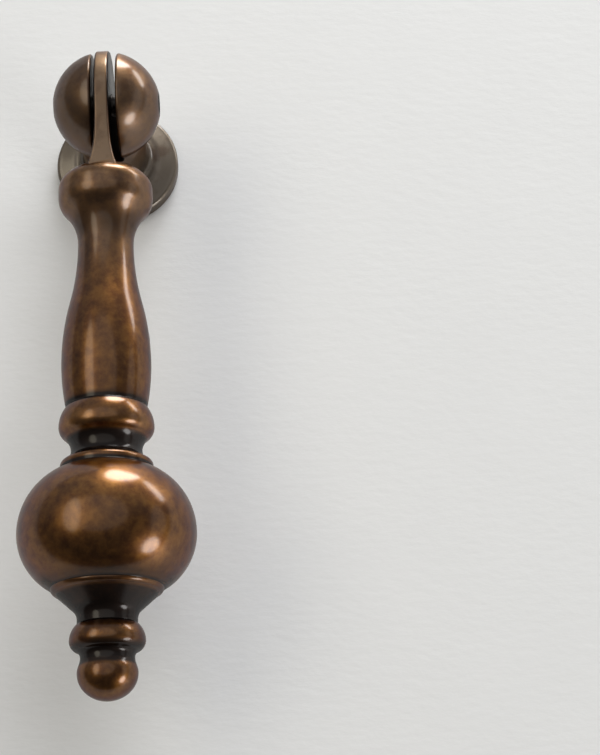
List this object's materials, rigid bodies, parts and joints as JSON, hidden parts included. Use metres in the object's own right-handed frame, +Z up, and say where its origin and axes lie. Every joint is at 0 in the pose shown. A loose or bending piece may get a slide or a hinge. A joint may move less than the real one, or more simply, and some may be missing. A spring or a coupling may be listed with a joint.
{
  "type": "drop pull",
  "caption": "Turned brass drop pull: a baluster drop with a ball finial, hinged on a pin in the slotted ball head of a round-footed post.",
  "frame": {"origin": "centre of the tapped hole's mouth, on the back face of the foot", "axes": "+Y into the drawer front, out of the tapped hole; +Z up, with the drop hanging along -Z; +X to the right as seen from the front, along the hinge pin"},
  "size_m": [0.0171, 0.0227, 0.0687],
  "materials": {
    "antique_brass": "dark brown patina, rubbed to copper gold on the high places, semi-gloss",
    "pin_steel": "darkened steel, dull"
  },
  "bodies": {
    "base": {"post": "antique_brass", "hinge_pin": "pin_steel"},
    "drop": {"drop": "antique_brass"}
  },
  "joints": [
    {"name": "drop_swing", "type": "hinge", "parent": "base", "child": "drop", "pos_m": [0, -0.0142, 0], "axis": [-1, 0, 0], "range_deg": [-7, 187]}
  ]
}
